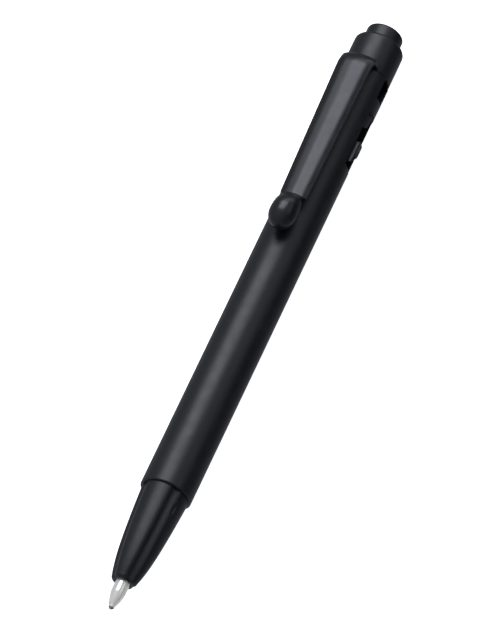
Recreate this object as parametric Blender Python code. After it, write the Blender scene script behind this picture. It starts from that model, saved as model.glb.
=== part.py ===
"""A retractable ballpoint pen, built as separate pieces.

The pen lies along X with its point at -X and its push button at +X. The clip is on top, at +Z.
Stations are distances in metres from the tip of the writing ball, measured towards the button.
Every piece is modelled around the pen's axis, in the position it has with the point out.
"""

from math import atan2, cos, pi, radians, sin, sqrt

import bmesh
import bpy

# Driving dimensions, metres
LENGTH = 0.1404
BARREL_RADIUS = 0.00525
BARREL_BORE = 0.00405
SEAM_GAP = 0.0001

# Stations along the pen, from the tip of the writing ball
NOSE_MOUTH = 0.0061
NOSE_SEAM = 0.0269
NOSE_SPIGOT_END = 0.0350
CAP_SEAM = 0.1290
CAP_TOP = 0.1374

# Side openings in the barrel. Distances are forward of the cap seam, heights are towards the clip.
NOTCH_LENGTH = 0.0047
NOTCH_HALF_WIDTH = 0.0019
WINDOW_REAR = CAP_SEAM - 0.0082
WINDOW_FRONT = CAP_SEAM - 0.0214
WINDOW_TOP = 0.00195
WINDOW_BOTTOM = -0.00275
TAB_REAR_SLIT = 0.0006
TAB_LENGTH = 0.0036
TAB_EDGE = 0.0003
TAB_ROUNDING = 0.0014

# Lugs of the rotor, which latch behind the tabs of the windows
LUG_REAR = CAP_SEAM - 0.0150
LUG_FRONT = CAP_SEAM - 0.0204
LUG_SLANT = 0.0024
LUG_TOP = 0.0014
LUG_BOTTOM = -0.00095
LUG_REACH = 0.00562

# Clip
CLIP_REAR = CAP_SEAM + 0.0010
CLIP_HALF_WIDTH = 0.0035
CLIP_TIP_HALF_WIDTH = 0.0028
CLIP_EDGE_HEIGHT = 0.0086
CLIP_TIP_EDGE_HEIGHT = 0.0077
CLIP_CROWN = 0.0007
CLIP_THICKNESS = 0.0011
CLIP_BEND = 0.0018
CLIP_STRAP_END = CAP_SEAM - 0.0351
CLIP_HINGE = (CLIP_REAR - CLIP_THICKNESS / 2, 0.00655)
BALL_STATION = CAP_SEAM - 0.03975
BALL_HALF_LENGTH = 0.00345
BALL_RADIUS = 0.00285
FOOT_POCKET_RADIUS = 0.00475

# Refill
REFILL_RADIUS = 0.0015
REFILL_BORE = 0.0011
REFILL_END = 0.1085
POINT_RADIUS = 0.00143
WRITING_BALL_RADIUS = 0.0005
SPRING_COIL_RADIUS = 0.00205
SPRING_WIRE_RADIUS = 0.00018
SPRING_SEAT = 0.0112
SPRING_COLLAR = 0.0300
SPRING_TURNS = 13

# Click mechanism
BUTTON_RADIUS = 0.0038
PLUNGER_RADIUS = 0.0033
CROWN_RADIUS = 0.0030
CROWN_BORE = 0.0013
CROWN_TEETH = 8
CROWN_HEIGHT = 0.0007
ROTOR_CROWN_TIP = 0.1142

SEGMENTS = 48
FINE_SEGMENTS = 24
# The barrel's facets are wide enough for the pen to rest on one without rolling
BARREL_SEGMENTS = 24

# Finishes: colour, roughness, metallic
SATIN_BLACK = ((0.013, 0.013, 0.015), 0.42, 0.0)
DULL_BLACK = ((0.016, 0.016, 0.018), 0.5, 0.0)
POLISHED_BLACK = ((0.014, 0.014, 0.016), 0.32, 0.0)
NICKEL_SILVER = ((0.62, 0.60, 0.56), 0.25, 1.0)
CARBIDE = ((0.42, 0.43, 0.45), 0.15, 1.0)
SPRING_STEEL = ((0.55, 0.55, 0.57), 0.3, 1.0)
CLEAR_TUBE = ((0.72, 0.74, 0.75), 0.35, 0.0)
INK = ((0.004, 0.004, 0.010), 0.2, 0.0)
GREASE = ((0.70, 0.66, 0.52), 0.4, 0.0)
WHITE_PLASTIC = ((0.80, 0.80, 0.78), 0.45, 0.0)


def along(station):
    """World X of a station."""
    return station - LENGTH / 2


def clear_scene():
    for old in list(bpy.data.objects):
        bpy.data.objects.remove(old, do_unlink=True)


def make_material(name, finish):
    colour, roughness, metallic = finish
    material = bpy.data.materials.new(name)
    material.use_nodes = True
    shader = material.node_tree.nodes["Principled BSDF"]
    shader.inputs["Base Color"].default_value = (*colour, 1.0)
    shader.inputs["Roughness"].default_value = roughness
    shader.inputs["Metallic"].default_value = metallic
    return material


def make_axis(name, station=LENGTH / 2, height=0.0):
    """An empty on a joint's axis, for the pieces that move with it."""
    empty = bpy.data.objects.new(name, None)
    empty.location = (along(station), 0.0, BARREL_RADIUS + height)
    empty.empty_display_size = 0.005
    bpy.context.scene.collection.objects.link(empty)
    return empty


def make_object(name, mesh_builder, finish, parent=None):
    """Link a mesh as an object with its own material. Its points are given around the pen's axis."""
    bmesh.ops.remove_doubles(mesh_builder, verts=mesh_builder.verts, dist=1e-7)
    bmesh.ops.recalc_face_normals(mesh_builder, faces=mesh_builder.faces)
    mesh = bpy.data.meshes.new(name)
    if parent is not None:
        offset = (-parent.location.x, 0.0, BARREL_RADIUS - parent.location.z)
        bmesh.ops.translate(mesh_builder, verts=mesh_builder.verts, vec=offset)
    mesh_builder.to_mesh(mesh)
    mesh_builder.free()
    mesh.materials.append(make_material(f"{name}_material", finish))
    mesh.shade_smooth()
    mesh.set_sharp_from_angle(angle=radians(35))
    thing = bpy.data.objects.new(name, mesh)
    if parent is None:
        thing.location = (0.0, 0.0, BARREL_RADIUS)
    thing.parent = parent
    bpy.context.scene.collection.objects.link(thing)
    return thing


def bridge_rings(builder, rings, closed):
    """Faces between rings of points. A ring of one repeated point is a pole."""
    pairs = list(zip(rings, rings[1:]))
    if closed:
        pairs.append((rings[-1], rings[0]))
    count = len(rings[0])
    for first, second in pairs:
        for index in range(count):
            following = (index + 1) % count
            corners = [first[index], first[following], second[following], second[index]]
            unique = list(dict.fromkeys(corners))
            if len(unique) > 2:
                builder.faces.new(unique)


def turned(outline, segments=SEGMENTS, shape=None, flat_below=False):
    """Turn an outline of (station, radius) points about the pen's axis.

    An outline that starts and ends on the axis makes a solid piece. Any other is closed
    on itself and makes a tube. shape moves a point by its number and angle from the top.
    flat_below sets a facet straight underneath, at the outline's radius, to rest on.
    """
    first_angle = pi / segments if flat_below else 0.0
    widening = 1 / cos(first_angle)
    builder = bmesh.new()
    rings = []
    for number, (station, radius) in enumerate(outline):
        if radius == 0.0:
            pole = builder.verts.new((along(station), 0.0, 0.0))
            rings.append([pole] * segments)
            continue
        ring = []
        for index in range(segments):
            angle = first_angle + 2 * pi * index / segments
            here, reach = station, radius * widening
            if shape is not None:
                here, reach = shape(number, angle, station, radius)
            ring.append(builder.verts.new((along(here), reach * sin(angle), reach * cos(angle))))
        rings.append(ring)
    closed = outline[0][1] != 0.0
    bridge_rings(builder, rings, closed)
    return builder


def arc(centre, radius, start, end, steps):
    """Points of an arc in the (station, radius) plane, angles in degrees from +station."""
    points = []
    for step in range(steps + 1):
        angle = radians(start + (end - start) * step / steps)
        points.append((centre[0] + radius * cos(angle), centre[1] + radius * sin(angle)))
    return points


def extruded(outline, depth_from, depth_to):
    """A prism from an outline of (station, height) points, extruded across the pen along Y."""
    builder = bmesh.new()
    near = [builder.verts.new((along(station), depth_from, height)) for station, height in outline]
    far = [builder.verts.new((along(station), depth_to, height)) for station, height in outline]
    count = len(outline)
    for index in range(count):
        following = (index + 1) % count
        builder.faces.new([near[index], near[following], far[following], far[index]])
    builder.faces.new(near)
    builder.faces.new(far)
    return builder


def rounded_outline(corners, steps=4):
    """Round each corner (station, height, radius) of a polygon."""
    points = []
    count = len(corners)
    for index, (station, height, radius) in enumerate(corners):
        if radius == 0.0:
            points.append((station, height))
            continue
        before = corners[index - 1]
        after = corners[(index + 1) % count]
        into = (before[0] - station, before[1] - height)
        out = (after[0] - station, after[1] - height)
        into_length = sqrt(into[0] ** 2 + into[1] ** 2)
        out_length = sqrt(out[0] ** 2 + out[1] ** 2)
        start = (station + into[0] / into_length * radius, height + into[1] / into_length * radius)
        end = (station + out[0] / out_length * radius, height + out[1] / out_length * radius)
        for step in range(steps + 1):
            share = step / steps
            weights = ((1 - share) ** 2, 2 * share * (1 - share), share ** 2)
            curve = zip(weights, (start, (station, height), end))
            blend = [(weight * point[0], weight * point[1]) for weight, point in curve]
            points.append((sum(part[0] for part in blend), sum(part[1] for part in blend)))
    return points


def boolean(target, tool, operation):
    """Cut or join target with a helper object, which stays out of the build."""
    tool.hide_render = True
    tool.display_type = "WIRE"
    modifier = target.modifiers.new(tool.name, "BOOLEAN")
    modifier.operation = operation
    modifier.object = tool


# Casing

def make_clip_slot(name):
    """The cutter for the slot that the clip's foot rises through, half in the barrel, half in the cap."""
    gap = 0.00012
    front = CLIP_REAR - CLIP_THICKNESS - gap
    rear = CLIP_REAR + gap
    side = CLIP_HALF_WIDTH + gap
    floor = 0.0041
    outline = [(front, floor), (front, 0.007), (rear, 0.007), (rear, floor)]
    return make_object(name, extruded(outline, -side, side), SATIN_BLACK)


def make_barrel():
    rim = 0.0002
    front = NOSE_SEAM
    rear = CAP_SEAM - SEAM_GAP
    foot_pocket = CAP_SEAM - 0.0012
    pocket_radius = FOOT_POCKET_RADIUS
    outline = [
        (front, BARREL_BORE),
        (front, BARREL_RADIUS - rim),
        (front + rim, BARREL_RADIUS),
        (rear, BARREL_RADIUS),
        (rear, pocket_radius),
        (foot_pocket, pocket_radius),
        (foot_pocket, BARREL_BORE),
    ]
    barrel = make_object("barrel", turned(outline, BARREL_SEGMENTS, flat_below=True), SATIN_BLACK)

    notch = [
        (CAP_SEAM - NOTCH_LENGTH, -NOTCH_HALF_WIDTH, 0.0002),
        (CAP_SEAM - NOTCH_LENGTH, NOTCH_HALF_WIDTH, 0.0002),
        (CAP_SEAM + 0.001, NOTCH_HALF_WIDTH, 0.0),
        (CAP_SEAM + 0.001, -NOTCH_HALF_WIDTH, 0.0),
    ]
    window = [
        (WINDOW_FRONT, WINDOW_BOTTOM, 0.0006),
        (WINDOW_FRONT, WINDOW_TOP, 0.0006),
        (WINDOW_REAR - TAB_LENGTH, WINDOW_TOP, 0.0001),
        (WINDOW_REAR - TAB_LENGTH, TAB_EDGE, TAB_ROUNDING),
        (WINDOW_REAR - TAB_REAR_SLIT, TAB_EDGE, 0.0003),
        (WINDOW_REAR - TAB_REAR_SLIT, WINDOW_TOP, 0.0001),
        (WINDOW_REAR, WINDOW_TOP, 0.0001),
        (WINDOW_REAR, WINDOW_BOTTOM, 0.0004),
    ]
    wall_inside = 0.0028
    outside = BARREL_RADIUS + 0.001
    for side, suffix in ((1, "left"), (-1, "right")):
        for label, opening in (("notch_cut", notch), ("window_cut", window)):
            turned_round = [(station, -side * height) for station, height in rounded_outline(opening)]
            cutter_mesh = extruded(turned_round, side * wall_inside, side * outside)
            cutter = make_object(f"{label}_{suffix}", cutter_mesh, SATIN_BLACK)
            boolean(barrel, cutter, "DIFFERENCE")
    boolean(barrel, make_clip_slot("barrel_slot_cut"), "DIFFERENCE")


def nose_radius(distance):
    """Outer radius of the nose at a distance forward of the barrel's front edge."""
    share = distance / (NOSE_SEAM - NOSE_MOUTH)
    return 0.00478 - 0.00131 * share - 0.00039 * share ** 2 - 0.00068 * share ** 6


def make_nose_cone():
    mouth_radius = 0.00157
    lip = 0.0008
    lip_steps = 4
    lip_distance = NOSE_SEAM - NOSE_MOUTH - lip
    lip_radius = nose_radius(lip_distance)
    outline = [(NOSE_MOUTH, mouth_radius)]
    outline += arc((NOSE_MOUTH + lip, lip_radius - lip), lip, 180, 90, lip_steps)
    first_outer = len(outline)
    steps = 9
    for step in range(1, steps + 1):
        distance = lip_distance * (1 - step / steps)
        outline.append((NOSE_SEAM - SEAM_GAP - distance, nose_radius(distance)))
    outer_points = range(first_outer, len(outline))

    thread_radius = 0.0039
    thread_root = 0.0037
    thread_start = NOSE_SEAM + 0.0010
    ridges = 4
    pitch = (NOSE_SPIGOT_END - 0.0010 - thread_start) / ridges
    outline += [(NOSE_SEAM - SEAM_GAP, thread_root), (thread_start, thread_root)]
    for ridge in range(ridges):
        start = thread_start + pitch * ridge
        outline.append((start + pitch * 0.5, thread_radius))
        outline.append((start + pitch, thread_root))
    spring_room = 0.00265
    outline.append((NOSE_SPIGOT_END, thread_root - 0.0003))
    outline.append((NOSE_SPIGOT_END, spring_room))
    outline.append((SPRING_SEAT, spring_room))
    outline.append((SPRING_SEAT, mouth_radius))

    flutes = 4
    flute_spacing = 2 * pi / flutes
    first_flute = radians(-38)
    flute_half_width = 0.0014
    flute_depth = 0.00032

    def fluted(number, angle, station, radius):
        if number not in outer_points:
            return station, radius
        off_flute = (angle - first_flute + flute_spacing / 2) % flute_spacing - flute_spacing / 2
        across = min(1.0, abs(off_flute) * radius / flute_half_width)
        return station, radius - flute_depth * cos(pi / 2 * across) ** 2
    make_object("nose_cone", turned(outline, 72, fluted), SATIN_BLACK)


def make_clip_cap():
    outer = 0.00517
    shoulder = 0.0011
    spigot_front = CAP_SEAM - 0.0048
    spigot_outer = 0.00390
    spigot_bore = PLUNGER_RADIUS + 0.00015
    groove = CAP_SEAM + 0.0006
    ledge = CAP_SEAM + 0.0012
    bore = BUTTON_RADIUS + 0.00013
    outline = [
        (spigot_front, spigot_bore),
        (spigot_front, spigot_outer - 0.0002),
        (spigot_front + 0.0003, spigot_outer),
        (groove, spigot_outer),
        (groove, FOOT_POCKET_RADIUS),
        (CAP_SEAM, FOOT_POCKET_RADIUS),
        (CAP_SEAM, outer),
    ]
    outline += reversed(arc((CAP_TOP - shoulder, outer - shoulder), shoulder, 0, 90, 6))
    outline += [(CAP_TOP, bore), (ledge, bore), (ledge, spigot_bore)]
    cap = make_object("clip_cap", turned(outline, flat_below=True), SATIN_BLACK)
    boolean(cap, make_clip_slot("cap_slot_cut"), "DIFFERENCE")


# Clip

def make_clip_foot():
    """The clip's foot: a wall that rises through the barrel's slot, and wings that the cap traps."""
    front = CLIP_REAR - CLIP_THICKNESS
    top = CLIP_HINGE[1] - 0.00005
    bottom = 0.0043
    section = [(front, bottom), (front, top), (CLIP_REAR, top), (CLIP_REAR, bottom)]
    wall = extruded(section, -CLIP_HALF_WIDTH, CLIP_HALF_WIDTH)
    foot = make_object("clip_foot", wall, POLISHED_BLACK)

    wing_front = CAP_SEAM - 0.0011
    wing_rear = CAP_SEAM + 0.0005
    inner, outer = 0.00415, 0.00465
    reach = radians(55)
    steps = 12
    corners = ((wing_front, inner), (wing_front, outer), (wing_rear, outer), (wing_rear, inner))
    builder = bmesh.new()
    sections = []
    for step in range(steps + 1):
        angle = -reach + 2 * reach * step / steps
        sections.append([builder.verts.new((along(s), r * sin(angle), r * cos(angle))) for s, r in corners])
    bridge_rings(builder, sections, closed=False)
    builder.faces.new(sections[0])
    builder.faces.new(sections[-1])
    wings = make_object("clip_wings", builder, POLISHED_BLACK)
    boolean(foot, wings, "UNION")


def clip_section(builder, station, height, lean, half_width, thickness, crown_height):
    """One cross-section of the strap: flat underside, upright sides and a crowned top.

    The section's outer edges are at (station, height). lean is 0 where the strap runs along
    the pen and 90 degrees where it stands up from the barrel.
    """
    crown_steps = 8
    points = [(-half_width, -thickness), (half_width, -thickness)]
    for step in range(crown_steps + 1):
        share = 1 - 2 * step / crown_steps
        points.append((half_width * share, crown_height * (1 - abs(share) ** 1.6)))
    ring = []
    for across, out in points:
        ring.append(builder.verts.new((along(station + out * sin(lean)), across, height + out * cos(lean))))
    return ring


def make_clip_arm(hinge):
    """The bend, the strap and the ball, one piece that flexes about the top of the foot."""
    bend_centre = (CLIP_REAR - CLIP_BEND, CLIP_EDGE_HEIGHT - CLIP_BEND)
    bend_steps = 7
    strap_steps = 6
    builder = bmesh.new()
    sections = []
    for step in range(bend_steps + 1):
        share = step / bend_steps
        lean = pi / 2 * (1 - share)
        station = bend_centre[0] + CLIP_BEND * sin(lean)
        height = bend_centre[1] + CLIP_BEND * cos(lean)
        crown_height = CLIP_CROWN * share
        size = (CLIP_HALF_WIDTH, CLIP_THICKNESS, crown_height)
        sections.append(clip_section(builder, station, height, lean, *size))
    for step in range(1, strap_steps + 1):
        share = step / strap_steps
        station = bend_centre[0] + (CLIP_STRAP_END - bend_centre[0]) * share
        height = CLIP_EDGE_HEIGHT + (CLIP_TIP_EDGE_HEIGHT - CLIP_EDGE_HEIGHT) * share
        half_width = CLIP_HALF_WIDTH + (CLIP_TIP_HALF_WIDTH - CLIP_HALF_WIDTH) * share
        sections.append(clip_section(builder, station, height, 0.0, half_width, CLIP_THICKNESS, CLIP_CROWN))
    neck_half_width = 0.0016
    neck_height = CLIP_TIP_EDGE_HEIGHT - 0.0001
    neck_start = CLIP_STRAP_END - 0.0001
    for station in (neck_start, BALL_STATION + 0.0010):
        sections.append(clip_section(builder, station, neck_height, 0.0, neck_half_width, 0.0010, 0.0002))
    bridge_rings(builder, sections, closed=False)
    builder.faces.new(sections[0])
    builder.faces.new(sections[-1])
    arm = make_object("clip_arm", builder, POLISHED_BLACK, hinge)

    ball_height = BARREL_RADIUS + 0.0001 + BALL_RADIUS
    ball = bmesh.new()
    bmesh.ops.create_uvsphere(ball, u_segments=24, v_segments=12, radius=BALL_RADIUS)
    bmesh.ops.scale(ball, verts=ball.verts, vec=(BALL_HALF_LENGTH / BALL_RADIUS, 1.0, 1.0))
    bmesh.ops.translate(ball, verts=ball.verts, vec=(along(BALL_STATION), 0.0, ball_height))
    boolean(arm, make_object("clip_ball", ball, POLISHED_BLACK, hinge), "UNION")


# Button and click mechanism

def make_push_button(axis):
    inner = 0.00275
    rounding = 0.0007
    skirt = 0.1310
    roof = 0.1382
    outline = [(roof, 0.0), (roof, inner), (skirt, inner), (skirt, BUTTON_RADIUS)]
    outline += reversed(arc((LENGTH - rounding, BUTTON_RADIUS - rounding), rounding, 0, 90, 5))
    outline += [(LENGTH, 0.0)]
    make_object("push_button", turned(outline), SATIN_BLACK, axis)


def crown(angle):
    """Height of the crown's saw teeth at an angle, 0 at the roots and 1 at the tips."""
    share = (angle * CROWN_TEETH / (2 * pi)) % 1.0
    return 1 - abs(2 * share - 1)


def make_cam_plunger(axis):
    """The tube under the button. Its crown of teeth pushes the rotor when the button is pressed."""
    crown_tip = ROTOR_CROWN_TIP + 0.00025
    neck_end = crown_tip + 0.0030
    boss_start = 0.1306
    boss_end = 0.1380
    boss_radius = 0.0026
    outline = [
        (crown_tip, CROWN_RADIUS),
        (neck_end, CROWN_RADIUS),
        (neck_end + 0.0006, PLUNGER_RADIUS),
        (boss_start, PLUNGER_RADIUS),
        (boss_start, boss_radius),
        (boss_end, boss_radius),
        (boss_end, CROWN_BORE),
        (crown_tip, CROWN_BORE),
    ]

    def toothed(number, angle, station, radius):
        if number in (0, len(outline) - 1):
            return station + CROWN_HEIGHT * (1 - crown(angle)), radius
        return station, radius
    make_object("cam_plunger", turned(outline, shape=toothed), DULL_BLACK, axis)


def make_lug(name, side, axis):
    """One lug, a block with a slanted front edge and a rounded head. side is 1 at +Y and -1 at -Y."""
    corners = [
        (LUG_FRONT, LUG_TOP, 0.0003),
        (LUG_REAR, LUG_TOP, 0.0008),
        (LUG_REAR, LUG_BOTTOM, 0.0006),
        (LUG_FRONT + LUG_SLANT, LUG_BOTTOM, 0.0005),
    ]
    centre = ((LUG_FRONT + LUG_REAR) / 2, (LUG_TOP + LUG_BOTTOM) / 2)
    layers = ((0.0030, 1.0), (LUG_REACH - 0.0007, 1.0), (LUG_REACH - 0.0002, 0.92), (LUG_REACH, 0.7))
    builder = bmesh.new()
    rings = []
    for depth, scale in layers:
        ring = []
        for station, height in rounded_outline(corners, steps=3):
            here = centre[0] + (station - centre[0]) * scale
            there = centre[1] + (height - centre[1]) * scale
            ring.append(builder.verts.new((along(here), side * depth, -side * there)))
        rings.append(ring)
    bridge_rings(builder, rings, closed=False)
    builder.faces.new(rings[0])
    builder.faces.new(rings[-1])
    return make_object(name, builder, DULL_BLACK, axis)


def make_cam_rotor(axis):
    """The rotor: a crown behind, a socket for the refill in front, and a lug in each window."""
    front = 0.1060
    carrier_front = 0.1086
    carrier_rear = 0.1130
    carrier_radius = 0.00375
    neck_radius = 0.0026
    socket_end = REFILL_END + 0.0010
    socket_radius = REFILL_RADIUS + 0.00015
    outline = [
        (socket_end, 0.0),
        (socket_end, socket_radius),
        (front, socket_radius),
        (front, neck_radius),
        (carrier_front - 0.0008, neck_radius),
        (carrier_front, carrier_radius),
        (carrier_rear, carrier_radius),
        (carrier_rear + 0.0003, CROWN_RADIUS),
        (ROTOR_CROWN_TIP, CROWN_RADIUS),
        (ROTOR_CROWN_TIP - CROWN_HEIGHT, 0.0),
    ]
    crown_point = 8

    def toothed(number, angle, station, radius):
        if number == crown_point:
            return station - CROWN_HEIGHT * (1 - crown(angle + pi / CROWN_TEETH)), radius
        return station, radius
    rotor = make_object("cam_rotor", turned(outline, shape=toothed), DULL_BLACK, axis)
    for side, suffix in ((1, "left"), (-1, "right")):
        boolean(rotor, make_lug(f"lug_{suffix}", side, axis), "UNION")


# Refill

def make_refill(axis):
    socket = 0.0120
    cone_end = 0.0037
    shoulder = 0.0072
    lip = 0.0004
    lip_radius = 0.00060
    seat_radius = WRITING_BALL_RADIUS + 0.00006
    seat_end = 0.00112
    channel = 0.0003
    point = [
        (seat_end, channel),
        (seat_end, seat_radius),
        (lip, seat_radius),
        (lip, lip_radius),
        (cone_end, POINT_RADIUS),
        (shoulder, POINT_RADIUS),
        (shoulder, REFILL_BORE - 0.00010),
        (socket, REFILL_BORE - 0.00010),
        (socket, channel),
    ]
    make_object("refill_point", turned(point, FINE_SEGMENTS), NICKEL_SILVER, axis)

    start = shoulder + SEAM_GAP
    collar_radius = 0.0024
    collar_length = 0.0010
    tube = [
        (start, REFILL_BORE),
        (start, REFILL_RADIUS),
        (SPRING_COLLAR, REFILL_RADIUS),
        (SPRING_COLLAR, collar_radius),
        (SPRING_COLLAR + collar_length, collar_radius),
        (SPRING_COLLAR + 1.6 * collar_length, REFILL_RADIUS),
        (REFILL_END, REFILL_RADIUS),
        (REFILL_END, REFILL_BORE),
    ]
    make_object("refill_tube", turned(tube, FINE_SEGMENTS), CLEAR_TUBE, axis)

    filling = REFILL_BORE - 0.00012
    ink_start = socket + 0.0003
    ink_end = 0.0740
    grease_end = 0.0780
    column = [(ink_start, 0.0), (ink_start, filling), (ink_end, filling), (ink_end, 0.0)]
    make_object("ink_column", turned(column, FINE_SEGMENTS), INK, axis)
    grease_start = ink_end + SEAM_GAP
    plug = [(grease_start, 0.0), (grease_start, filling), (grease_end, filling), (grease_end, 0.0)]
    make_object("grease_plug", turned(plug, FINE_SEGMENTS), GREASE, axis)

    flange = REFILL_END + SEAM_GAP
    vent = 0.0003
    plug_front = REFILL_END - 0.0045
    vented = [
        (plug_front, vent),
        (plug_front, filling),
        (flange, filling),
        (flange, REFILL_RADIUS - 0.0001),
        (flange + 0.0007, REFILL_RADIUS - 0.0001),
        (flange + 0.0007, vent),
    ]
    make_object("refill_plug", turned(vented, FINE_SEGMENTS), WHITE_PLASTIC, axis)


def make_writing_ball(axis):
    builder = bmesh.new()
    bmesh.ops.create_uvsphere(builder, u_segments=16, v_segments=10, radius=WRITING_BALL_RADIUS)
    bmesh.ops.translate(builder, verts=builder.verts, vec=(along(WRITING_BALL_RADIUS), 0.0, 0.0))
    make_object("writing_ball", builder, CARBIDE, axis)


def make_return_spring():
    """Compression spring around the refill, with its end turns closed."""
    start = SPRING_SEAT + SPRING_WIRE_RADIUS + 0.0001
    end = SPRING_COLLAR - SPRING_WIRE_RADIUS - 0.0001
    closed_turns = 1.0
    closed_pitch = 2 * SPRING_WIRE_RADIUS + 0.00006
    open_turns = SPRING_TURNS - 2 * closed_turns
    open_pitch = (end - start - 2 * closed_turns * closed_pitch) / open_turns
    steps_per_turn = 14
    sides = 6
    builder = bmesh.new()
    rings = []
    station = start
    count = SPRING_TURNS * steps_per_turn
    for step in range(count + 1):
        turn = step / steps_per_turn
        angle = 2 * pi * turn
        closed_end = turn < closed_turns or turn >= SPRING_TURNS - closed_turns
        pitch = closed_pitch if closed_end else open_pitch
        slope = atan2(pitch, 2 * pi * SPRING_COIL_RADIUS)
        ring = []
        for side in range(sides):
            spin = 2 * pi * side / sides
            outward = SPRING_WIRE_RADIUS * cos(spin)
            lengthways = SPRING_WIRE_RADIUS * sin(spin)
            reach = SPRING_COIL_RADIUS + outward
            back = -lengthways * sin(slope)
            across = reach * sin(angle) + back * cos(angle)
            height = reach * cos(angle) - back * sin(angle)
            ring.append(builder.verts.new((along(station + lengthways * cos(slope)), across, height)))
        rings.append(ring)
        station += pitch / steps_per_turn
    bridge_rings(builder, rings, closed=False)
    builder.faces.new(rings[0])
    builder.faces.new(rings[-1])
    make_object("return_spring", builder, SPRING_STEEL)


def build():
    clear_scene()
    button_axis = make_axis("button_axis")
    refill_axis = make_axis("refill_axis")
    ball_centre = make_axis("ball_centre", WRITING_BALL_RADIUS)
    clip_hinge = make_axis("clip_hinge", *CLIP_HINGE)

    make_barrel()
    make_nose_cone()
    make_clip_cap()
    make_clip_foot()
    make_clip_arm(clip_hinge)
    make_push_button(button_axis)
    make_cam_plunger(button_axis)
    make_cam_rotor(refill_axis)
    make_return_spring()
    make_refill(refill_axis)
    make_writing_ball(ball_centre)


build()
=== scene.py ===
"""The looks of a retractable ballpoint pen: detailed pieces, materials, light and camera.

The pen lies along X with its point at -X and the clip on top. Everything is in metres. Pieces are
modelled around the pen's axis, which is then placed above the floor. Round pieces are turned from
outlines of (x, radius) points.
"""
from math import acos, atan2, cos, pi, radians, sin, sqrt

import bmesh
import bpy
from mathutils import Matrix, Vector


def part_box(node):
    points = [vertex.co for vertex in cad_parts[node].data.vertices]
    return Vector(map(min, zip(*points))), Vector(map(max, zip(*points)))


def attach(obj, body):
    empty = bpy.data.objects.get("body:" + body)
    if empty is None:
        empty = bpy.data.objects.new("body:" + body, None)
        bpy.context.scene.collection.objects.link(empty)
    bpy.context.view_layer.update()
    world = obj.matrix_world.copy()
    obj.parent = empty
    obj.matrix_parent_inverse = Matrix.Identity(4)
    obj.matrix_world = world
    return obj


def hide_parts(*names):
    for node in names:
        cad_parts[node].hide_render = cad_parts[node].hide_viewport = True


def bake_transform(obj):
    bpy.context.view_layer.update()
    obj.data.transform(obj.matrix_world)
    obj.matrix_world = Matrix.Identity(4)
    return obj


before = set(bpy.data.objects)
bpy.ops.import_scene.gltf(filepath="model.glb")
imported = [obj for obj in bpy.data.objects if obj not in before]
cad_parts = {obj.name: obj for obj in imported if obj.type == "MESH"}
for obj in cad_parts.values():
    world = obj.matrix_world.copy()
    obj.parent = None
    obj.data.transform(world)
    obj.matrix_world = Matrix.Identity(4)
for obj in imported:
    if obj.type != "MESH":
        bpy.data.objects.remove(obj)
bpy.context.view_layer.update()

# Places and sizes read from the frame
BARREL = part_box("barrel")
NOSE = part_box("nose_cone")
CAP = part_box("clip_cap")
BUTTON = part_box("push_button")
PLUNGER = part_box("cam_plunger")
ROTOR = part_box("cam_rotor")
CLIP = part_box("clip_arm")
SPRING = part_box("return_spring")
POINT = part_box("refill_point")
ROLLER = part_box("writing_ball")
LOW, HIGH = 0, 1
SEAM_GAP = 0.0001
TIP = ROLLER[LOW].x
AXIS_HEIGHT = (ROLLER[LOW].z + ROLLER[HIGH].z) / 2
RADIUS = BARREL[HIGH].z - AXIS_HEIGHT
SEAM = BARREL[HIGH].x + SEAM_GAP
NOSE_SEAM = BARREL[LOW].x
BARREL_BORE = 0.00405

SEGMENTS = 144


# Mesh tools

def bridge_rings(builder, rings, closed=False):
    """Faces between rings of points. A ring of one repeated point is a pole."""
    pairs = list(zip(rings, rings[1:]))
    if closed:
        pairs.append((rings[-1], rings[0]))
    count = len(rings[0])
    for first, second in pairs:
        for index in range(count):
            following = (index + 1) % count
            corners = [first[index], first[following], second[following], second[index]]
            unique = list(dict.fromkeys(corners))
            if len(unique) > 2:
                builder.faces.new(unique)


def turned(outline, segments=SEGMENTS, shape=None):
    """Turn an outline of (x, radius) points about the axis.

    An outline that starts and ends on the axis is a solid piece, any other is closed on itself.
    shape moves a point by its number and its angle from the top towards +Y.
    """
    builder = bmesh.new()
    rings = []
    for number, (x, radius) in enumerate(outline):
        if radius == 0.0:
            pole = builder.verts.new((x, 0.0, 0.0))
            rings.append([pole] * segments)
            continue
        ring = []
        for index in range(segments):
            angle = 2 * pi * index / segments
            here, reach = x, radius
            if shape is not None:
                here, reach = shape(number, angle, x, radius)
            ring.append(builder.verts.new((here, reach * sin(angle), reach * cos(angle))))
        rings.append(ring)
    bridge_rings(builder, rings, closed=outline[0][1] != 0.0)
    return builder


def arc(centre, radius, start, end, steps=6):
    """Points of an arc in the (x, radius) plane, angles in degrees from +x."""
    points = []
    for step in range(steps + 1):
        angle = radians(start + (end - start) * step / steps)
        points.append((centre[0] + radius * cos(angle), centre[1] + radius * sin(angle)))
    return points


def between(start, end, step):
    """Evenly spaced values from start to end, both left out, about a step apart."""
    count = max(1, round(abs(end - start) / step))
    return [start + (end - start) * index / count for index in range(1, count)]


def smooth_step(value, start, end):
    share = min(1.0, max(0.0, (value - start) / (end - start)))
    return share * share * (3 - 2 * share)


def finish_mesh(thing, sharp=38):
    """Smooth shading with creases where faces meet at more than the sharp angle."""
    thing.data.shade_smooth()
    thing.data.set_sharp_from_angle(angle=radians(sharp))


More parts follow.
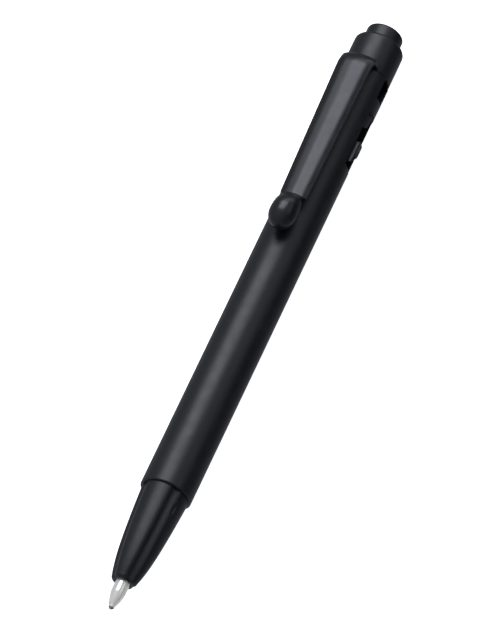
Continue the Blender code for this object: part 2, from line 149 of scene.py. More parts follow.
def make_object(name, builder, material):
    bmesh.ops.remove_doubles(builder, verts=builder.verts, dist=1e-7)
    bmesh.ops.recalc_face_normals(builder, faces=builder.faces)
    if builder.calc_volume(signed=True) < 0:
        bmesh.ops.reverse_faces(builder, faces=builder.faces)
    mesh = bpy.data.meshes.new(name)
    builder.to_mesh(mesh)
    builder.free()
    mesh.materials.append(material)
    thing = bpy.data.objects.new(name, mesh)
    thing.location = (0.0, 0.0, AXIS_HEIGHT)
    bpy.context.scene.collection.objects.link(thing)
    finish_mesh(thing)
    return thing


def combine(target, tools, operation):
    """Cut the tools out of target, or join them to it, and remove them."""
    for tool in tools:
        modifier = target.modifiers.new(tool.name, "BOOLEAN")
        modifier.operation = operation
        modifier.object = tool
    bpy.context.view_layer.update()
    evaluated = target.evaluated_get(bpy.context.evaluated_depsgraph_get())
    mesh = bpy.data.meshes.new_from_object(evaluated)
    target.modifiers.clear()
    target.data = mesh
    for tool in tools:
        bpy.data.objects.remove(tool, do_unlink=True)
    finish_mesh(target)
    weights = target.modifiers.new("even_shading", "WEIGHTED_NORMAL")
    weights.keep_sharp = True


def declare(piece, body, slot, *nodes):
    """The piece rides on a body and stands for CAD nodes, which are hidden. The slot is not used."""
    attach(piece, body)
    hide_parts(*nodes)


# Outlines on the barrel's sides, as (x, height) points

def rounded_outline(corners, steps=8):
    """Round each corner (x, height, radius) of a polygon."""
    points = []
    for index, (x, height, radius) in enumerate(corners):
        corner = Vector((x, height))
        if radius == 0.0:
            points.append(corner)
            continue
        before = Vector(corners[index - 1][:2]) - corner
        after = Vector(corners[(index + 1) % len(corners)][:2]) - corner
        start = corner + before.normalized() * radius
        end = corner + after.normalized() * radius
        for step in range(steps + 1):
            share = step / steps
            points.append(start * (1 - share) ** 2 + corner * 2 * share * (1 - share) + end * share ** 2)
    return points


def grown(outline, amount):
    """The outline moved outwards by an amount."""
    count = len(outline)
    area = sum(outline[i - 1].cross(outline[i]) for i in range(count))
    turn = 1 if area > 0 else -1
    moved = []
    for index, point in enumerate(outline):
        along = (outline[(index + 1) % count] - outline[index - 1]).normalized()
        moved.append(point + Vector((along.y, -along.x)) * amount * turn)
    return moved


def opening_cutter(name, corners, side, soft_edge=0.00014):
    """A cutter with parallel walls whose edge flares in a small round where it meets the barrel."""
    outline = rounded_outline(corners)
    layers = []
    for degrees in (0, 25, 50, 72):
        turn = radians(degrees)
        layers.append((soft_edge * (1 - cos(turn)), soft_edge * (sin(turn) - 1)))
    inside, outside = 0.0028, RADIUS + 0.0008
    builder = bmesh.new()
    rings = []
    rings.append([builder.verts.new((x, side * inside, -side * height)) for x, height in outline])
    for growth, rise in layers:
        ring = []
        for x, height in grown(outline, growth):
            surface = sqrt(RADIUS ** 2 - height ** 2)
            ring.append(builder.verts.new((x, side * (surface + rise), -side * height)))
        rings.append(ring)
    widest = grown(outline, layers[-1][0])
    rings.append([builder.verts.new((x, side * outside, -side * height)) for x, height in widest])
    bridge_rings(builder, rings)
    builder.faces.new(rings[0])
    builder.faces.new(rings[-1])
    return make_object(name, builder, PLASTIC)


def box_cutter(name, low, high):
    builder = bmesh.new()
    bmesh.ops.create_cube(builder, size=1.0)
    for vert in builder.verts:
        vert.co = [low[i] + (vert.co[i] + 0.5) * (high[i] - low[i]) for i in range(3)]
    return make_object(name, builder, PLASTIC)


# Materials

class Nodes:
    """Shorthand for building a node material around a Principled shader."""

    def __init__(self, name):
        self.material = bpy.data.materials.new(name)
        self.material.use_nodes = True
        self.tree = self.material.node_tree
        self.shader = self.tree.nodes["Principled BSDF"]
        self.place = self.tree.nodes.new("ShaderNodeTexCoord").outputs["Object"]

    def stretched(self, scale):
        """Object coordinates scaled by a factor for each axis."""
        mapping = self.tree.nodes.new("ShaderNodeMapping")
        mapping.inputs["Scale"].default_value = scale
        self.tree.links.new(self.place, mapping.inputs["Vector"])
        return mapping.outputs["Vector"]

    def noise(self, scale, detail=3.0, place=None):
        noise = self.tree.nodes.new("ShaderNodeTexNoise")
        noise.inputs["Scale"].default_value = scale
        noise.inputs["Detail"].default_value = detail
        self.tree.links.new(place or self.place, noise.inputs["Vector"])
        return noise.outputs["Fac"]

    def spread(self, value, low, high, centre=0.5, reach=0.22):
        """A noise value spread from low to high."""
        spread = self.tree.nodes.new("ShaderNodeMapRange")
        spread.inputs["From Min"].default_value = centre - reach
        spread.inputs["From Max"].default_value = centre + reach
        spread.inputs["To Min"].default_value = low
        spread.inputs["To Max"].default_value = high
        self.tree.links.new(value, spread.inputs["Value"])
        return spread.outputs["Result"]

    def colours(self, value, first, second, centre=0.5, reach=0.22):
        """A colour that varies from first to second with a noise value."""
        ramp = self.tree.nodes.new("ShaderNodeValToRGB")
        ramp.color_ramp.elements[0].position = centre - reach
        ramp.color_ramp.elements[0].color = (*first, 1.0)
        ramp.color_ramp.elements[1].position = centre + reach
        ramp.color_ramp.elements[1].color = (*second, 1.0)
        self.tree.links.new(value, ramp.inputs["Fac"])
        return ramp.outputs["Color"]

    def bump(self, value, distance, strength=1.0, under=None):
        bump = self.tree.nodes.new("ShaderNodeBump")
        bump.inputs["Distance"].default_value = distance
        bump.inputs["Strength"].default_value = strength
        self.tree.links.new(value, bump.inputs["Height"])
        if under is not None:
            self.tree.links.new(under, bump.inputs["Normal"])
        return bump.outputs["Normal"]

    def link(self, output, socket):
        self.tree.links.new(output, self.shader.inputs[socket])

    def set(self, **values):
        for socket, value in values.items():
            self.shader.inputs[socket.replace("_", " ")].default_value = value


def moulded_plastic(name, dark, light, roughness, grain=0.000004):
    """Black moulded plastic: faint flow lines along the pen, fine grain and slight wear in the gloss."""
    nodes = Nodes(name)
    flow = nodes.noise(1.0, 4.0, nodes.stretched((60.0, 900.0, 900.0)))
    nodes.link(nodes.colours(flow, dark, light), "Base Color")
    cloud = nodes.noise(420.0, 5.0)
    nodes.link(nodes.spread(cloud, roughness - 0.045, roughness + 0.045), "Roughness")
    waves = nodes.bump(nodes.noise(350.0, 2.0), 0.000012, 0.35)
    nodes.link(nodes.bump(nodes.noise(7000.0, 2.0), grain, 0.5, waves), "Normal")
    nodes.set(IOR=1.5)
    return nodes.material


def turned_metal(name, dark, light, roughness, metallic=1.0, lines=5200.0):
    """Metal with fine turning marks around the axis."""
    nodes = Nodes(name)
    marks = nodes.noise(1.0, 3.0, nodes.stretched((lines, 40.0, 40.0)))
    nodes.link(nodes.colours(marks, dark, light), "Base Color")
    nodes.link(nodes.spread(nodes.noise(900.0), roughness - 0.05, roughness + 0.06), "Roughness")
    nodes.link(nodes.bump(marks, 0.000002, 0.5), "Normal")
    nodes.set(Metallic=metallic)
    return nodes.material


def drawn_wire(name):
    """Bright drawn spring wire with slight staining."""
    nodes = Nodes(name)
    stain = nodes.noise(800.0, 4.0)
    nodes.link(nodes.colours(stain, (0.42, 0.42, 0.44), (0.62, 0.62, 0.63)), "Base Color")
    nodes.link(nodes.spread(stain, 0.38, 0.22), "Roughness")
    nodes.link(nodes.bump(nodes.noise(6000.0, 2.0), 0.000002, 0.4), "Normal")
    nodes.set(Metallic=1.0)
    return nodes.material


def milky_plastic(name, dark, light, roughness, transmission):
    """Translucent or white plastic with slight clouding."""
    nodes = Nodes(name)
    cloud = nodes.noise(500.0, 4.0)
    nodes.link(nodes.colours(cloud, dark, light), "Base Color")
    nodes.link(nodes.spread(cloud, roughness - 0.05, roughness + 0.05), "Roughness")
    nodes.link(nodes.bump(nodes.noise(5000.0, 2.0), 0.000003, 0.3), "Normal")
    nodes.set(IOR=1.49, Transmission_Weight=transmission)
    return nodes.material


def thick_fluid(name, dark, light, roughness):
    """Ink or grease: glossy with slow ripples."""
    nodes = Nodes(name)
    swirl = nodes.noise(700.0, 3.0)
    nodes.link(nodes.colours(swirl, dark, light), "Base Color")
    nodes.link(nodes.spread(swirl, roughness, roughness + 0.1), "Roughness")
    nodes.link(nodes.bump(swirl, 0.00002, 0.3), "Normal")
    nodes.set(IOR=1.47)
    return nodes.material


PLASTIC = moulded_plastic("satin_black_plastic", (0.0030, 0.0031, 0.0037), (0.0060, 0.0062, 0.0073), 0.42)
CLIP_PLASTIC = moulded_plastic(
    "polished_black_plastic", (0.0035, 0.0036, 0.0042), (0.0065, 0.0067, 0.0078), 0.31)
INNER_PLASTIC = moulded_plastic(
    "inner_black_plastic", (0.0045, 0.0046, 0.0052), (0.0075, 0.0077, 0.0085), 0.42)
NICKEL = turned_metal("turned_nickel_silver", (0.90, 0.86, 0.77), (0.97, 0.94, 0.86), 0.2, 0.45)
CARBIDE = turned_metal("polished_carbide", (0.34, 0.35, 0.37), (0.46, 0.47, 0.49), 0.12)
WIRE = drawn_wire("drawn_spring_wire")
TUBE_PLASTIC = milky_plastic("milky_refill_plastic", (0.66, 0.69, 0.71), (0.80, 0.82, 0.83), 0.32, 0.75)
WHITE_PLASTIC = milky_plastic("white_plug_plastic", (0.70, 0.70, 0.67), (0.84, 0.84, 0.81), 0.42, 0.0)
INK = thick_fluid("black_ink", (0.002, 0.002, 0.006), (0.006, 0.006, 0.014), 0.12)
GREASE = thick_fluid("pale_grease", (0.60, 0.55, 0.40), (0.74, 0.70, 0.56), 0.25)


# Casing

# Side openings, as (distance forward of the cap seam, height towards the clip, corner radius)
NOTCH = ((0.0047, -0.0019, 0.0002), (0.0047, 0.0019, 0.0002), (-0.001, 0.0019, 0.0), (-0.001, -0.0019, 0.0))
WINDOW = (
    (0.0214, -0.00275, 0.0006),
    (0.0214, 0.00195, 0.0006),
    (0.0118, 0.00195, 0.0001),
    (0.0118, 0.0003, 0.0014),
    (0.0090, 0.0003, 0.0003),
    (0.0090, 0.00195, 0.0001),
    (0.0082, 0.00195, 0.0001),
    (0.0082, -0.00275, 0.0004),
)


def clip_slot_cutter(name):
    """The slot that the clip's foot rises through, half in the barrel and half in the cap."""
    gap = 0.00012
    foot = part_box("clip_foot")
    clip_wall = 0.0011
    low = (foot[HIGH].x - clip_wall - gap, CLIP[LOW].y - gap, 0.0041)
    high = (foot[HIGH].x + gap, CLIP[HIGH].y + gap, 0.008)
    return box_cutter(name, low, high)


def make_barrel():
    front, rear = BARREL[LOW].x, BARREL[HIGH].x
    front_rim, rear_rim = 0.00028, 0.00010
    pocket, pocket_radius = SEAM - 0.0012, 0.00475
    openings_start = SEAM - 0.0230
    outline = [(front + 0.0002, BARREL_BORE), (front, BARREL_BORE + 0.0002)]
    outline += reversed(arc((front + front_rim, RADIUS - front_rim), front_rim, 90, 180))
    outline += [(x, RADIUS) for x in between(front + front_rim, openings_start, 0.004)]
    outline += [(x, RADIUS) for x in between(openings_start, rear - rear_rim, 0.0006)]
    outline += reversed(arc((rear - rear_rim, RADIUS - rear_rim), rear_rim, 0, 90, 4))
    outline += [(rear, pocket_radius), (pocket, pocket_radius), (pocket, BARREL_BORE)]
    outline += [(x, BARREL_BORE) for x in between(pocket, openings_start, 0.0012)]
    barrel = make_object("barrel_shell", turned(outline), PLASTIC)
    cutters = [clip_slot_cutter("barrel_slot")]
    for side in (1, -1):
        for number, corners in enumerate((NOTCH, WINDOW)):
            placed = [(SEAM - forward, height, radius) for forward, height, radius in corners]
            cutters.append(opening_cutter(f"opening_{number}_{side}", placed, side))
    combine(barrel, cutters, "DIFFERENCE")
    declare(barrel, "casing", "barrel_plastic", "barrel")


def nose_radius(x):
    """Outer radius of the nose at x: a taper that curves in, most of all near the mouth."""
    share = (NOSE_SEAM - x) / (NOSE_SEAM - NOSE[LOW].x)
    seam_radius, taper, curve, closing = 0.00478, 0.00110, 0.00060, 0.00068
    return seam_radius - taper * share - curve * share ** 2 - closing * share ** 6


def make_nose():
    """The fluted nose cone with its screw spigot."""
    mouth, mouth_radius = NOSE[LOW].x, 0.00157
    lip = 0.0008
    lip_x = mouth + lip
    seam = NOSE_SEAM - 0.00005
    mouth_depth, mouth_edge = 0.0012, 0.00012
    outline = [(mouth + mouth_depth, mouth_radius), (mouth + mouth_edge, mouth_radius)]
    outline.append((mouth, mouth_radius + mouth_edge))
    outline += reversed(arc((lip_x, nose_radius(lip_x) - lip), lip, 90, 180, 10))
    outer_start = len(outline)
    outline += [(x, nose_radius(x)) for x in between(lip_x, seam, 0.0003)]
    outline.append((seam, nose_radius(seam)))
    outer_end = len(outline)

    thread_radius, thread_root = 0.0039, 0.0037
    thread_start = NOSE_SEAM + 0.0010
    ridges = 6
    pitch = (NOSE[HIGH].x - 0.0010 - thread_start) / ridges
    outline += [(seam, thread_root), (thread_start, thread_root)]
    for ridge in range(ridges):
        start = thread_start + pitch * ridge
        outline.append((start + pitch * 0.35, thread_radius))
        outline.append((start + pitch * 0.6, thread_radius))
        outline.append((start + pitch * 0.95, thread_root))
    spring_room = 0.00265
    spring_seat = SPRING[LOW].x - 0.0001
    outline += [(NOSE[HIGH].x, thread_root - 0.0003), (NOSE[HIGH].x, spring_room)]
    outline += [(spring_seat, spring_room), (spring_seat, mouth_radius)]

    lip_points = 9
    flutes = 4
    first_flute = radians(-38)
    flute_half_width = 0.0014
    flute_depth = 0.0004
    mark_x, mark_angle = NOSE_SEAM - 0.0040, radians(-57)
    mark_half_length, mark_half_width, mark_depth = 0.0011, 0.0004, 0.00022

    def fluted(number, angle, x, radius):
        if not outer_start - lip_points <= number < outer_end:
            return x, radius
        off_flute = ((angle - first_flute + pi / flutes) % (2 * pi / flutes)) - pi / flutes
        across = min(1.0, abs(off_flute) * radius / flute_half_width)
        depth = flute_depth * cos(pi / 2 * across) ** 2
        off_mark = (angle - mark_angle + pi) % (2 * pi) - pi
        spot = ((x - mark_x) / mark_half_length) ** 2 + (off_mark * radius / mark_half_width) ** 2
        depth += mark_depth * sqrt(max(0.0, 1 - spot))
        return x, radius - depth
    nose = make_object("fluted_nose", turned(outline, 240, fluted), PLASTIC)
    declare(nose, "casing", "nose_plastic", "nose_cone")


def make_cap():
    """The end cap, with the button's bore and the spigot that presses into the barrel."""
    outer = CAP[HIGH].z - AXIS_HEIGHT
    top = CAP[HIGH].x
    shoulder = 0.0011
    spigot_outer, spigot_bore = 0.00390, 0.00345
    groove, groove_radius = SEAM + 0.0006, 0.00475
    ledge, bore = SEAM + 0.0012, BUTTON[HIGH].z - AXIS_HEIGHT + 0.00013
    front_edge = 0.00008
    mouth_edge = 0.0001
    lead_in, lead_in_length = 0.0002, 0.0003
    outline = [(CAP[LOW].x, spigot_bore), (CAP[LOW].x, spigot_outer - lead_in)]
    outline.append((CAP[LOW].x + lead_in_length, spigot_outer))
    outline += [(groove, spigot_outer), (groove, groove_radius), (SEAM, groove_radius)]
    outline += reversed(arc((SEAM + front_edge, outer - front_edge), front_edge, 90, 180, 3))
    outline += [(x, outer) for x in between(SEAM + front_edge, top - shoulder, 0.0006)]
    outline += reversed(arc((top - shoulder, outer - shoulder), shoulder, 0, 90, 14))
    outline += arc((top - mouth_edge, bore + mouth_edge), mouth_edge, 0, -90, 4)[1:]
    outline += [(ledge, bore), (ledge, spigot_bore)]
    cap = make_object("end_cap", turned(outline), PLASTIC)
    combine(cap, [clip_slot_cutter("cap_slot")], "DIFFERENCE")
    declare(cap, "casing", "cap_plastic", "clip_cap")


# Clip

def strap_profile(half_width, thickness, crown, roll, droop=0.0):
    """Points (across, out) of the strap's section: a low roof whose edges roll off, flat underneath.

    roll is how far in from each side the round of the roof's edge begins. droop is how far the
    sides hang below the middle.
    """
    roll_radius, ridge_softness, roof_power = 0.0034, 0.006, 1.15
    under_edge = 0.00018
    side_edge = 0.0002
    inner = half_width - roll
    eaves = half_width - side_edge

    def hang(across):
        return droop * abs(across / half_width) ** 3

    def roof_height(across):
        """The roof's height above its eaves, with a soft crease along the middle."""
        ridge = sqrt((across / half_width) ** 2 + ridge_softness)
        past = max(0.0, abs(across) - inner)
        rounded = roll_radius - sqrt(roll_radius ** 2 - past ** 2)
        return crown * (1 - ridge ** roof_power) - rounded - hang(across)
    half_roof = [inner * step / 6 for step in range(7)]
    half_roof += [inner + (eaves - inner) * step / 10 for step in range(1, 11)]
    right = []
    corner_steps = 4
    for step in range(corner_steps):
        turn = pi / 2 * step / corner_steps
        right.append((eaves + side_edge * cos(turn), roof_height(eaves) - side_edge * (1 - sin(turn))))
    roof = [(across, roof_height(across)) for across in reversed(half_roof)]
    roof += [(-across, out) for across, out in reversed(roof[:-1])]
    flat = half_width - under_edge
    under = [(flat, -thickness - hang(flat)), (half_width, -thickness + under_edge - droop)]
    left = [(-across, out) for across, out in reversed(right)]
    under_left = [(-across, out) for across, out in reversed(under)]
    floor = []
    for step in range(1, 8):
        across = -flat + 2 * flat * step / 8
        floor.append((across, -thickness - hang(across)))
    return under + right + roof + left + under_left + floor


def make_clip():
    """Foot, bend, strap, neck and ball in one moulding."""
    rear = CLIP[HIGH].x
    strap_half, tip_half = CLIP[HIGH].y, 0.0028
    edge_height, tip_height = 0.0088, 0.0079
    wall_thickness, thickness, crown = 0.0011, 0.0008, 0.00045
    strap_end = SEAM - 0.0347
    foot_bottom = 0.0043
    bend_length, bend_drop = 0.0042, 0.0024
    edge_roll, tip_roll, wall_roll = 0.0017, 0.0014, 0.0004
    droop = 0.0006
    ball_front_length, ball_rear_length, ball_radius = 0.00345, 0.0049, 0.00285
    rear_fullness = 0.45
    ball_x = CLIP[LOW].x + ball_front_length
    ball_height = CLIP[HIGH].z - AXIS_HEIGHT - ball_radius

    builder = bmesh.new()
    rings = []

    def add_section(x, height, lean, profile, roundness=0.0, breadth=0.0, radius=0.0, centre=0.0):
        """A ring of the profile at (x, height), blended by roundness towards the ball's section."""
        middle = -thickness / 2
        ring = []
        for across, out in profile:
            turn = atan2((out - middle) * tip_half / thickness, across)
            across += (breadth * cos(turn) - across) * roundness
            out += (centre - height + radius * sin(turn) - out) * roundness
            ring.append(builder.verts.new((x + out * sin(lean), across, height + out * cos(lean))))
        rings.append(ring)

    def ball_section(turn):
        """Station, half-breadth, half-height and centre height of the ball, turn from its rear end."""
        length = ball_rear_length if turn < pi / 2 else ball_front_length
        fullness = rear_fullness if turn < pi / 2 else 1.0
        rise = ball_height - (tip_height - thickness / 2)
        drop = rise * max(0.0, cos(turn)) ** 2
        breadth = ball_radius * sin(turn) ** fullness
        return ball_x + length * cos(turn), breadth, ball_radius * sin(turn), ball_height - drop

    wall_steps = 8
    wall_top = edge_height - bend_drop
    for step in range(wall_steps):
        height = foot_bottom + (wall_top - foot_bottom) * step / wall_steps
        hang = droop * smooth_step(height, foot_bottom + 0.0005, wall_top)
        add_section(rear, height, pi / 2, strap_profile(strap_half, wall_thickness, 0.0, wall_roll, hang))
    bend_steps = 18
    for step in range(bend_steps + 1):
        turn = pi / 2 * step / bend_steps
        share = step / bend_steps
        x = rear - bend_length * (1 - cos(turn))
        height = wall_top + bend_drop * sin(turn)
        lean = atan2(bend_drop * cos(turn), bend_length * sin(turn))
        depth = wall_thickness + (thickness - wall_thickness) * share
        roll = wall_roll + (edge_roll - wall_roll) * smooth_step(share, 0.0, 0.8)
        rise = crown * smooth_step(share, 0.0, 1.0)
        hang = droop * (1 - smooth_step(share, 0.1, 1.0))
        add_section(x, height, lean, strap_profile(strap_half, depth, rise, roll, hang))
    strap_start = rear - bend_length
    strap_step, neck_step = 0.0009, 0.00007
    for x in between(strap_start, strap_end, strap_step) + [strap_end]:
        share = (strap_start - x) / (strap_start - strap_end)
        height = edge_height + (tip_height - edge_height) * share
        half = strap_half + (tip_half - strap_half) * share
        roll = edge_roll + (tip_roll - edge_roll) * share
        add_section(x, height, 0.0, strap_profile(half, thickness, crown, roll))
    tip_profile = strap_profile(tip_half, thickness, crown, tip_roll)
    join = acos(0.92)
    join_x, breadth, radius, centre = ball_section(join)
    for x in between(strap_end, join_x, neck_step):
        share = smooth_step(strap_end - x, 0.0, strap_end - join_x)
        add_section(x, tip_height, 0.0, tip_profile, share, breadth, radius, centre)
    ball_steps = 34
    for step in range(ball_steps):
        x, breadth, radius, centre = ball_section(join + (pi - join) * step / ball_steps)
        add_section(x, tip_height, 0.0, tip_profile, 1.0, breadth, radius, centre)
    pole = builder.verts.new((ball_x - ball_front_length, 0.0, ball_height))
    rings.append([pole] * len(rings[0]))
    bridge_rings(builder, rings)
    builder.faces.new(rings[0])
    clip = make_object("pocket_clip", builder, CLIP_PLASTIC)
    combine(clip, [make_wings()], "UNION")
    clip.location = (0.0, 0.0, AXIS_HEIGHT)
    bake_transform(clip)
    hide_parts("clip_foot", "clip_arm")


def make_wings():
    """The curved wings of the foot, trapped between the barrel and the cap."""
    front, back = SEAM - 0.0011, SEAM + 0.0005
    inner, outer = 0.00415, 0.00465
    reach = radians(55)
    steps = 24
    corners = ((front, inner), (front, outer), (back, outer), (back, inner))
    builder = bmesh.new()
    sections = []
    for step in range(steps + 1):
        angle = -reach + 2 * reach * step / steps
        sections.append([builder.verts.new((x, r * sin(angle), r * cos(angle))) for x, r in corners])
    bridge_rings(builder, sections)
    builder.faces.new(sections[0])
    builder.faces.new(sections[-1])
    return make_object("clip_wings", builder, CLIP_PLASTIC)


# Button and click mechanism

def make_button():
    radius = BUTTON[HIGH].z - AXIS_HEIGHT
    top, skirt = BUTTON[HIGH].x, BUTTON[LOW].x
    rounding = 0.0007
    inner, roof = 0.00275, top - 0.0022
    outline = [(roof, 0.0), (roof, inner), (skirt, inner), (skirt, radius - 0.0002), (skirt + 0.0002, radius)]
    outline += [(x, radius) for x in between(skirt, top - rounding, 0.0010)[1:]]
    outline += reversed(arc((top - rounding, radius - rounding), rounding, 0, 90, 10))
    outline += [(top, radius * share) for share in (0.6, 0.3)]
    outline += [(top, 0.0)]
    button = make_object("thumb_button", turned(outline), PLASTIC)
    declare(button, "button", "button_plastic", "push_button")


CROWN_TEETH = 8
CROWN_HEIGHT = 0.0007
CROWN_RADIUS = 0.0030


def crown(angle):
    """Height of the crown's teeth at an angle, 0 at the roots and 1 at the tips."""
    share = (angle * CROWN_TEETH / (2 * pi)) % 1.0
    return 1 - abs(2 * share - 1)


def make_plunger():
    """The tube under the button, with a crown of teeth at its front."""
    crown_tip = PLUNGER[LOW].x
    outer = PLUNGER[HIGH].z - AXIS_HEIGHT
    neck_end = crown_tip + 0.0030
    boss_start, boss_radius = BUTTON[LOW].x - 0.0004, 0.0026
    bore = 0.0013
    outline = [(crown_tip, CROWN_RADIUS), (neck_end, CROWN_RADIUS), (neck_end + 0.0006, outer)]
    outline += [(boss_start - 0.0002, outer), (boss_start, outer - 0.0002), (boss_start, boss_radius)]
    outline += [(PLUNGER[HIGH].x, boss_radius), (PLUNGER[HIGH].x, bore), (crown_tip, bore)]

    def toothed(number, angle, x, radius):
        if number in (0, len(outline) - 1):
            return x + CROWN_HEIGHT * (1 - crown(angle)), radius
        return x, radius
    plunger = make_object("plunger_tube", turned(outline, shape=toothed), INNER_PLASTIC)
    declare(plunger, "button", "plunger_plastic", "cam_plunger")


# Lug of the rotor, as (distance forward of the cap seam, height towards the clip, corner radius)
LUG = (
    (0.0204, 0.0014, 0.0003),
    (0.0150, 0.0014, 0.0008),
    (0.0150, -0.00095, 0.0006),
    (0.0180, -0.00095, 0.0005),
)


def make_lug(name, side):
    """A block with a slanted front and a domed head."""
    reach = ROTOR[HIGH].y
    dome, dome_inset = 0.0005, 0.0004
    outline = rounded_outline([(SEAM - forward, height, radius) for forward, height, radius in LUG])
    builder = bmesh.new()
    rings = [[builder.verts.new((x, side * 0.0030, -side * height)) for x, height in outline]]
    dome_steps = 7
    for step in range(dome_steps + 1):
        turn = pi / 2 * step / dome_steps
        depth = reach - dome * (1 - sin(turn))
        ring = grown(outline, -dome_inset * (1 - cos(turn)))
        rings.append([builder.verts.new((x, side * depth, -side * height)) for x, height in ring])
    bridge_rings(builder, rings)
    builder.faces.new(rings[0])
    builder.faces.new(rings[-1])
    return make_object(name, builder, INNER_PLASTIC)


def make_rotor():
    """The rotor that latches the refill: crown, socket and two lugs."""
    front, crown_tip = ROTOR[LOW].x, ROTOR[HIGH].x
    carrier_front, carrier_rear = front + 0.0026, front + 0.0070
    carrier_radius, neck_radius = 0.00375, 0.0026
    socket_radius, socket_end = 0.00165, front + 0.0035
    outline = [(socket_end, 0.0), (socket_end, socket_radius), (front, socket_radius), (front, neck_radius)]
    outline += [(carrier_front - 0.0008, neck_radius), (carrier_front, carrier_radius)]
    outline += [(carrier_rear, carrier_radius), (carrier_rear + 0.0003, CROWN_RADIUS)]
    outline += [(crown_tip, CROWN_RADIUS), (crown_tip - CROWN_HEIGHT, 0.0)]
    crown_point = len(outline) - 2

    def toothed(number, angle, x, radius):
        if number == crown_point:
            return x - CROWN_HEIGHT * (1 - crown(angle + pi / CROWN_TEETH)), radius
        return x, radius
    rotor = make_object("lug_rotor", turned(outline, shape=toothed), INNER_PLASTIC)
    combine(rotor, [make_lug("lug_left", 1), make_lug("lug_right", -1)], "UNION")
    declare(rotor, "rotor", "rotor_plastic", "cam_rotor")


# Refill

def make_point():
    """The metal point: tube end, shank, cone and the lip that holds the roller."""
    radius = POINT[HIGH].z - AXIS_HEIGHT
    roller = ROLLER[HIGH].z - AXIS_HEIGHT
    lip_x, lip_radius = TIP + 0.0004, 0.00060
    seat_radius, seat_end, channel = roller + 0.00006, TIP + 0.00112, 0.0003
    cone_end, shoulder, socket = TIP + 0.0037, TIP + 0.0072, POINT[HIGH].x
    bore = 0.0010
    outline = [(seat_end, channel), (seat_end, seat_radius), (lip_x, seat_radius)]
    outline += [(lip_x, lip_radius - 0.00003), (lip_x + 0.00006, lip_radius)]
    land = lip_x + 0.0005
    outline += [(land, lip_radius + 0.00004), (land + 0.00005, lip_radius + 0.00014)]
    cone_start = outline[-1]
    cone_steps = 12
    for step in range(1, cone_steps + 1):
        share = step / cone_steps
        swell = 0.00007 * sin(pi * share)
        reach = cone_start[1] + (radius - cone_start[1]) * share + swell
        outline.append((cone_start[0] + (cone_end - cone_start[0]) * share, min(radius, reach)))
    outline += [(x, radius) for x in between(cone_end, shoulder - 0.0001, 0.0008)]
    outline += [(shoulder - 0.0001, radius), (shoulder, radius - 0.0001), (shoulder, bore)]
    outline += [(socket, bore), (socket, channel)]
    point = make_object("refill_tip", turned(outline, 96), NICKEL)
    declare(point, "refill", "nickel_silver", "refill_point")


def make_roller():
    """The writing ball."""
    radius = ROLLER[HIGH].z - AXIS_HEIGHT
    builder = bmesh.new()
    bmesh.ops.create_icosphere(builder, subdivisions=4, radius=radius)
    bmesh.ops.translate(builder, verts=builder.verts, vec=(TIP + radius, 0.0, 0.0))
    roller = make_object("roller_ball", builder, CARBIDE)
    declare(roller, "ball", "tungsten_carbide", "writing_ball")


def make_spring():
    """Compression spring with closed ends, reaching from the nose to the refill."""
    wire = 0.00018
    coil = SPRING[HIGH].z - AXIS_HEIGHT - wire
    turns, closed_turns = 13, 1.0
    start, end = SPRING[LOW].x + wire, SPRING[HIGH].x - wire
    closed_pitch = 2 * wire + 0.00006
    open_pitch = (end - start - 2 * closed_turns * closed_pitch) / (turns - 2 * closed_turns)
    steps_per_turn, sides = 40, 12
    builder = bmesh.new()
    rings = []
    x = start
    for step in range(turns * steps_per_turn + 1):
        turn = step / steps_per_turn
        angle = 2 * pi * turn
        from_end = min(turn, turns - turn)
        pitch = closed_pitch + (open_pitch - closed_pitch) * smooth_step(from_end, 0.75, 1.25)
        slope = atan2(pitch, 2 * pi * coil)
        ring = []
        for side in range(sides):
            spin = 2 * pi * side / sides
            lengthways = wire * sin(spin)
            reach = coil + wire * cos(spin)
            back = -lengthways * sin(slope)
            across = reach * sin(angle) + back * cos(angle)
            height = reach * cos(angle) - back * sin(angle)
            ring.append(builder.verts.new((x + lengthways * cos(slope), across, height)))
        rings.append(ring)
        x += pitch / steps_per_turn
    bridge_rings(builder, rings)
    builder.faces.new(rings[0])
    builder.faces.new(rings[-1])
    spring = make_object("coil_spring", builder, WIRE)
    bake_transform(spring)
    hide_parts("return_spring")


def finish_inner_nodes():
    """Materials for the CAD pieces that are kept inside the barrel."""
    finishes = {
        "refill_tube": TUBE_PLASTIC,
        "ink_column": INK,
        "grease_plug": GREASE,
        "refill_plug": WHITE_PLASTIC,
    }
    for node, material in finishes.items():
        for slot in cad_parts[node].material_slots:
            slot.material = material


# Studio

def make_camera():
    """A long lens, looking down on the pen from beyond its point."""
    tilt, around, roll = radians(28.03), radians(21.2), radians(25.65)
    distance = 1.3348
    aim_right, aim_up = 0.002235, -0.000474
    back = Vector((-sin(tilt), -cos(tilt) * sin(around), cos(tilt) * cos(around)))
    pen = Vector((1.0, 0.0, 0.0))
    up = (pen - back * pen.dot(back)).normalized()
    right = up.cross(back)
    camera_right = cos(roll) * right + sin(roll) * up
    camera_up = cos(roll) * up - sin(roll) * right
    place = back * distance - camera_right * aim_right - camera_up * aim_up
    place.z += AXIS_HEIGHT
    data = bpy.data.cameras.new("camera")
    data.lens = 396.3
    data.sensor_width = 36.0
    data.clip_start = 0.05
    data.clip_end = 10.0
    camera = bpy.data.objects.new("camera", data)
    turn = Matrix((camera_right, camera_up, back)).transposed().to_4x4()
    camera.matrix_world = Matrix.Translation(place) @ turn
    bpy.context.scene.collection.objects.link(camera)
    bpy.context.scene.camera = camera


def make_floor():
    """A pale floor. It stays out of the pen's gloss, where the studio shows instead."""
    builder = bmesh.new()
    bmesh.ops.create_grid(builder, x_segments=1, y_segments=1, size=1.5)
    floor = make_object("floor", builder, make_floor_material())
    floor.location = (0.0, 0.0, 0.0)
    floor.visible_glossy = False


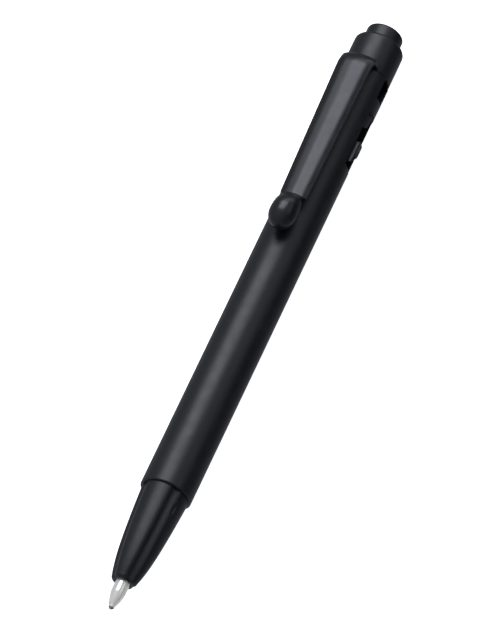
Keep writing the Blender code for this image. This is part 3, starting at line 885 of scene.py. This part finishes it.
def make_floor_material():
    nodes = Nodes("pale_floor")
    mottle = nodes.noise(3.0, 2.0)
    nodes.link(nodes.colours(mottle, (0.90, 0.90, 0.90), (0.93, 0.93, 0.93)), "Base Color")
    nodes.set(Roughness=0.9, Emission_Color=(1.0, 1.0, 1.0, 1.0), Emission_Strength=0.95)
    return nodes.material


def make_light(name, direction, distance, size, radiance, colour=(0.87, 0.91, 1.0)):
    """A rectangular soft light facing the pen, its size in metres along X and across it."""
    data = bpy.data.lights.new(name, "AREA")
    data.shape = "RECTANGLE"
    data.size, data.size_y = size
    data.energy = radiance * pi * size[0] * size[1]
    data.color = colour
    light = bpy.data.objects.new(name, data)
    back = Vector(direction).normalized()
    long_side = (Vector((1.0, 0.0, 0.0)) - back * back.x).normalized()
    other = back.cross(long_side)
    turn = Matrix((long_side, other, back)).transposed().to_4x4()
    light.matrix_world = Matrix.Translation(back * distance) @ turn
    bpy.context.scene.collection.objects.link(light)


def make_world():
    """A dim room: darkest low down towards +X and -Y, paler upwards and on the other sides."""
    world = bpy.data.worlds.new("studio")
    world.use_nodes = True
    tree = world.node_tree
    split = tree.nodes.new("ShaderNodeSeparateXYZ")
    tree.links.new(tree.nodes.new("ShaderNodeTexCoord").outputs["Generated"], split.inputs["Vector"])

    def calculate(operation, first, second):
        node = tree.nodes.new("ShaderNodeMath")
        node.operation = operation
        for socket, value in zip(node.inputs, (first, second)):
            if isinstance(value, float):
                socket.default_value = value
            else:
                tree.links.new(value, socket)
        return node.outputs["Value"]
    base, per_x, per_y, per_height, dimmest = 0.22, -0.12, 0.17, 0.31, 0.02
    height = calculate("MULTIPLY", split.outputs["Z"], split.outputs["Z"])
    upwards = calculate("MULTIPLY", height, per_height)
    lengthways = calculate("MULTIPLY", split.outputs["X"], per_x)
    sideways = calculate("MULTIPLY", split.outputs["Y"], per_y)
    total = calculate("ADD", calculate("ADD", upwards, lengthways), calculate("ADD", sideways, base))
    background = tree.nodes["Background"]
    background.inputs["Color"].default_value = (0.84, 0.88, 1.0, 1.0)
    tree.links.new(calculate("MAXIMUM", total, dimmest), background.inputs["Strength"])
    bpy.context.scene.world = world


def make_studio():
    bpy.context.scene.view_settings.view_transform = "Standard"
    make_camera()
    make_floor()
    make_world()
    make_light("key_softbox", (0.55, 0.15, 0.82), 1.6, (1.2, 1.15), 4.0)
    make_light("side_softbox", (0.47, -0.70, 0.52), 1.6, (1.5, 0.7), 0.55)
    make_light("rear_softbox", (0.94, -0.12, 0.32), 1.3, (0.3, 0.8), 1.6)


make_barrel()
make_nose()
make_cap()
make_clip()
make_button()
make_plunger()
make_rotor()
make_point()
make_roller()
make_spring()
finish_inner_nodes()
make_studio()
